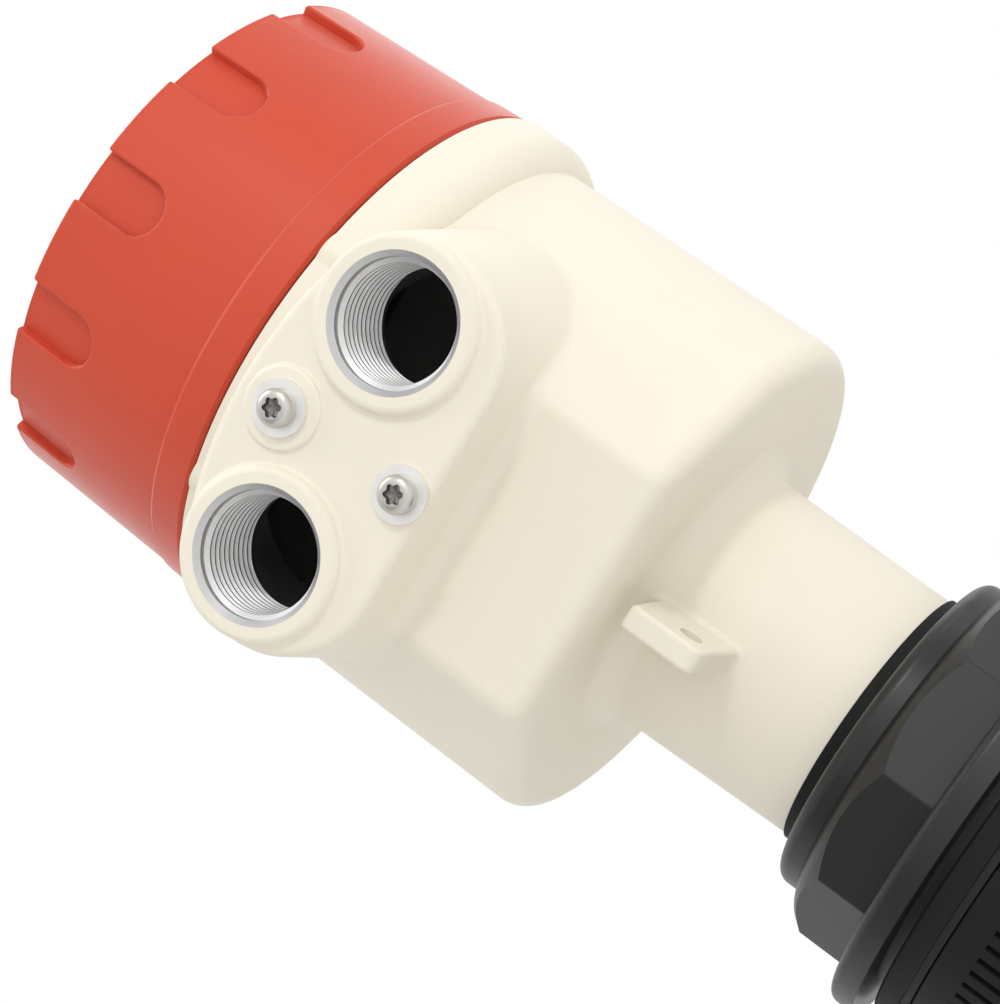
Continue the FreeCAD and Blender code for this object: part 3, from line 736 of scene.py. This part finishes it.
class METER_OT_plate_screws(bpy.types.Operator):
    """Six-lobe pan-head screws in place of the plain ones on the conduit plate"""

    bl_idname = "meter.plate_screws"
    bl_label = "Plate screws"

    def execute(self, context):
        sizes = context.scene.meter_sizes
        form = screw_form(sizes)
        seats = []
        for node in ("upper_screw", "lower_screw"):
            low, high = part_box(node)
            seats.append(((low.x + high.x) / 2, low.y + sizes.head_height, (low.z + high.z) / 2))
        screws = grown("plate_screws", copies_tree(), seats, {
            "Form": form, "Turn": OUT_OF_PLATE,
            "Material": screw_steel(context.scene.meter_colours, sizes, seats)})
        bpy.data.objects.remove(form)
        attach(screws, "housing")
        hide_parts("upper_screw", "lower_screw")
        return {"FINISHED"}


def screw_form(sizes):
    """A pan-head screw along Z, its head above z = 0, with a six-lobe recess."""
    radius, height, deep = sizes.head_radius, sizes.head_height, sizes.recess_depth
    low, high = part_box("upper_screw")
    tip = height - (high.y - low.y)
    shank = radius * SHANK_SHARE
    crown = height * CROWN_SHARE

    def lobes(share):
        def reach(angle):
            wave = 0.5 - 0.5 * math.cos(LOBES * angle)
            return share * (sizes.lobe_radius - sizes.lobe_depth * wave)
        return reach

    rings = [(shank * TIP_SHARE, tip), (shank, tip + shank * TIP_TAPER), (shank, 0.0), (radius, 0.0),
             (radius, height * FLANK_SHARE)]
    for step in range(1, CROWN_STEPS + 1):
        angle = math.pi / 2 * step / CROWN_STEPS
        rings.append((radius - crown * (1 - math.cos(angle)), height - crown * (1 - math.sin(angle))))
    rings += [(lobes(LIP_FLARE), height), (lobes(1.0), height - LIP_DEPTH)]
    rings += [(lobes(outline), height - deep * share) for outline, share in RECESS_RINGS]
    rings.append((RECESS_TIP_RADIUS, height - deep * RECESS_TIP_SHARE))
    return ringed("plate_screw_form", rings, HEAD_STEPS)


class METER_OT_studio(bpy.types.Operator):
    """Camera, pale floor and soft white light"""

    bl_idname = "meter.studio"
    bl_label = "Studio"

    def execute(self, context):
        studio = context.scene.meter_studio
        lens = bpy.data.cameras.new("camera")
        lens.lens = studio.lens
        lens.sensor_width = SENSOR_WIDTH_MM
        lens.clip_start = NEAREST
        camera = put_in_scene("camera", lens)
        camera.location = studio.camera_place
        camera.rotation_euler = studio.camera_turn
        context.scene.camera = camera
        context.scene.view_settings.view_transform = "Standard"
        white_surround(context.scene, studio)
        for name, (place, size) in PANELS.items():
            soft_light(name + "_panel", place, size, getattr(studio, name))
        pale_floor(context.scene.meter_colours.floor)
        return {"FINISHED"}


def white_surround(scene, studio):
    """White to the eye, and a soft light with a darker gap at the front left."""
    scene.world = bpy.data.worlds.new("studio")
    scene.world.use_nodes = True
    tree = scene.world.node_tree
    seen = Socket(tree).node("ShaderNodeLightPath", output="Is Camera Ray")
    x, y = axes(Socket(tree).node("ShaderNodeTexCoord", output="Generated"))[:2]
    to_gap = x * math.sin(studio.gap_turn) - y * math.cos(studio.gap_turn)
    light = (1.0 - to_gap.ramp(*GAP_EDGES) * studio.gap) * studio.surround
    join(tree, seen + light - seen * light, tree.nodes["Background"].inputs["Strength"])
    tree.nodes["Background"].inputs["Color"].default_value = opaque(WHITE)


def soft_light(name, place, size, energy):
    """A square soft box that looks at the middle of the meter."""
    light = bpy.data.lights.new(name, "AREA")
    light.size = size
    light.energy = energy
    lamp = put_in_scene(name, light)
    lamp.location = place
    middle = (CAD_BOX[0] + CAD_BOX[1]) / 2
    lamp.rotation_euler = (middle - Vector(place)).to_track_quat("-Z", "Y").to_euler()
    lamp.visible_camera = False


def pale_floor(tint):
    """A wide pale disc under the meter that fades, to the eye, into the white surround."""
    work = bmesh.new()
    bmesh.ops.create_circle(work, cap_ends=True, segments=FLOOR_SIDES, radius=FLOOR_RADIUS)
    mesh = bpy.data.meshes.new("floor")
    work.to_mesh(mesh)
    work.free()
    mesh.transform(Matrix.Translation((0, 0, CAD_BOX[0].z - FLOOR_GAP)))
    floor = put_in_scene("floor", mesh)
    material, shader, place = new_finish("floor")
    tree = material.node_tree
    x, y = axes(place)[:2]
    speck = noise(place, size=40.0)
    dress(shader, {"Base Color": speck.mix(opaque(tint), dimmed(tint, 0.985)), "Roughness": 0.6})
    seen = Socket(tree).node("ShaderNodeLightPath", output="Is Camera Ray")
    far = distance(x, y).ramp(mm(FADE_START), mm(FADE_END)) * seen
    white = Socket(tree).node("ShaderNodeEmission", None, {"Color": opaque(WHITE)})
    faded = far.node("ShaderNodeMixShader", None, {0: far, 1: Socket(tree, shader.outputs[0]), 2: white})
    join(tree, faded, tree.nodes["Material Output"].inputs["Surface"])
    mesh.materials.append(material)


class METER_PT_pieces(bpy.types.Panel):
    """Lists the meter's operators"""

    bl_label = "Level Meter"
    bl_idname = "METER_PT_pieces"
    bl_space_type = "VIEW_3D"
    bl_region_type = "UI"
    bl_category = "Level Meter"

    def draw(self, context):
        for operator in OPERATORS:
            self.layout.operator(operator.bl_idname)


GROUPS = {"meter_sizes": MeterSizes, "meter_colours": MeterColours, "meter_studio": MeterStudio}
OPERATORS = (METER_OT_finishes, METER_OT_entry_threads, METER_OT_nut_thread, METER_OT_cap_thread,
             METER_OT_plate_screws, METER_OT_studio)
CLASSES = (*GROUPS.values(), *OPERATORS, METER_PT_pieces)


def register():
    for cls in CLASSES:
        bpy.utils.register_class(cls)
    for name, group in GROUPS.items():
        setattr(bpy.types.Scene, name, PointerProperty(type=group))


def unregister():
    for name in GROUPS:
        delattr(bpy.types.Scene, name)
    for cls in reversed(CLASSES):
        bpy.utils.unregister_class(cls)


def main():
    register()
    bpy.ops.meter.finishes()
    bpy.ops.meter.entry_threads()
    bpy.ops.meter.nut_thread()
    bpy.ops.meter.cap_thread()
    bpy.ops.meter.plate_screws()
    bpy.ops.meter.studio()


if __name__ == "__main__":
    main()
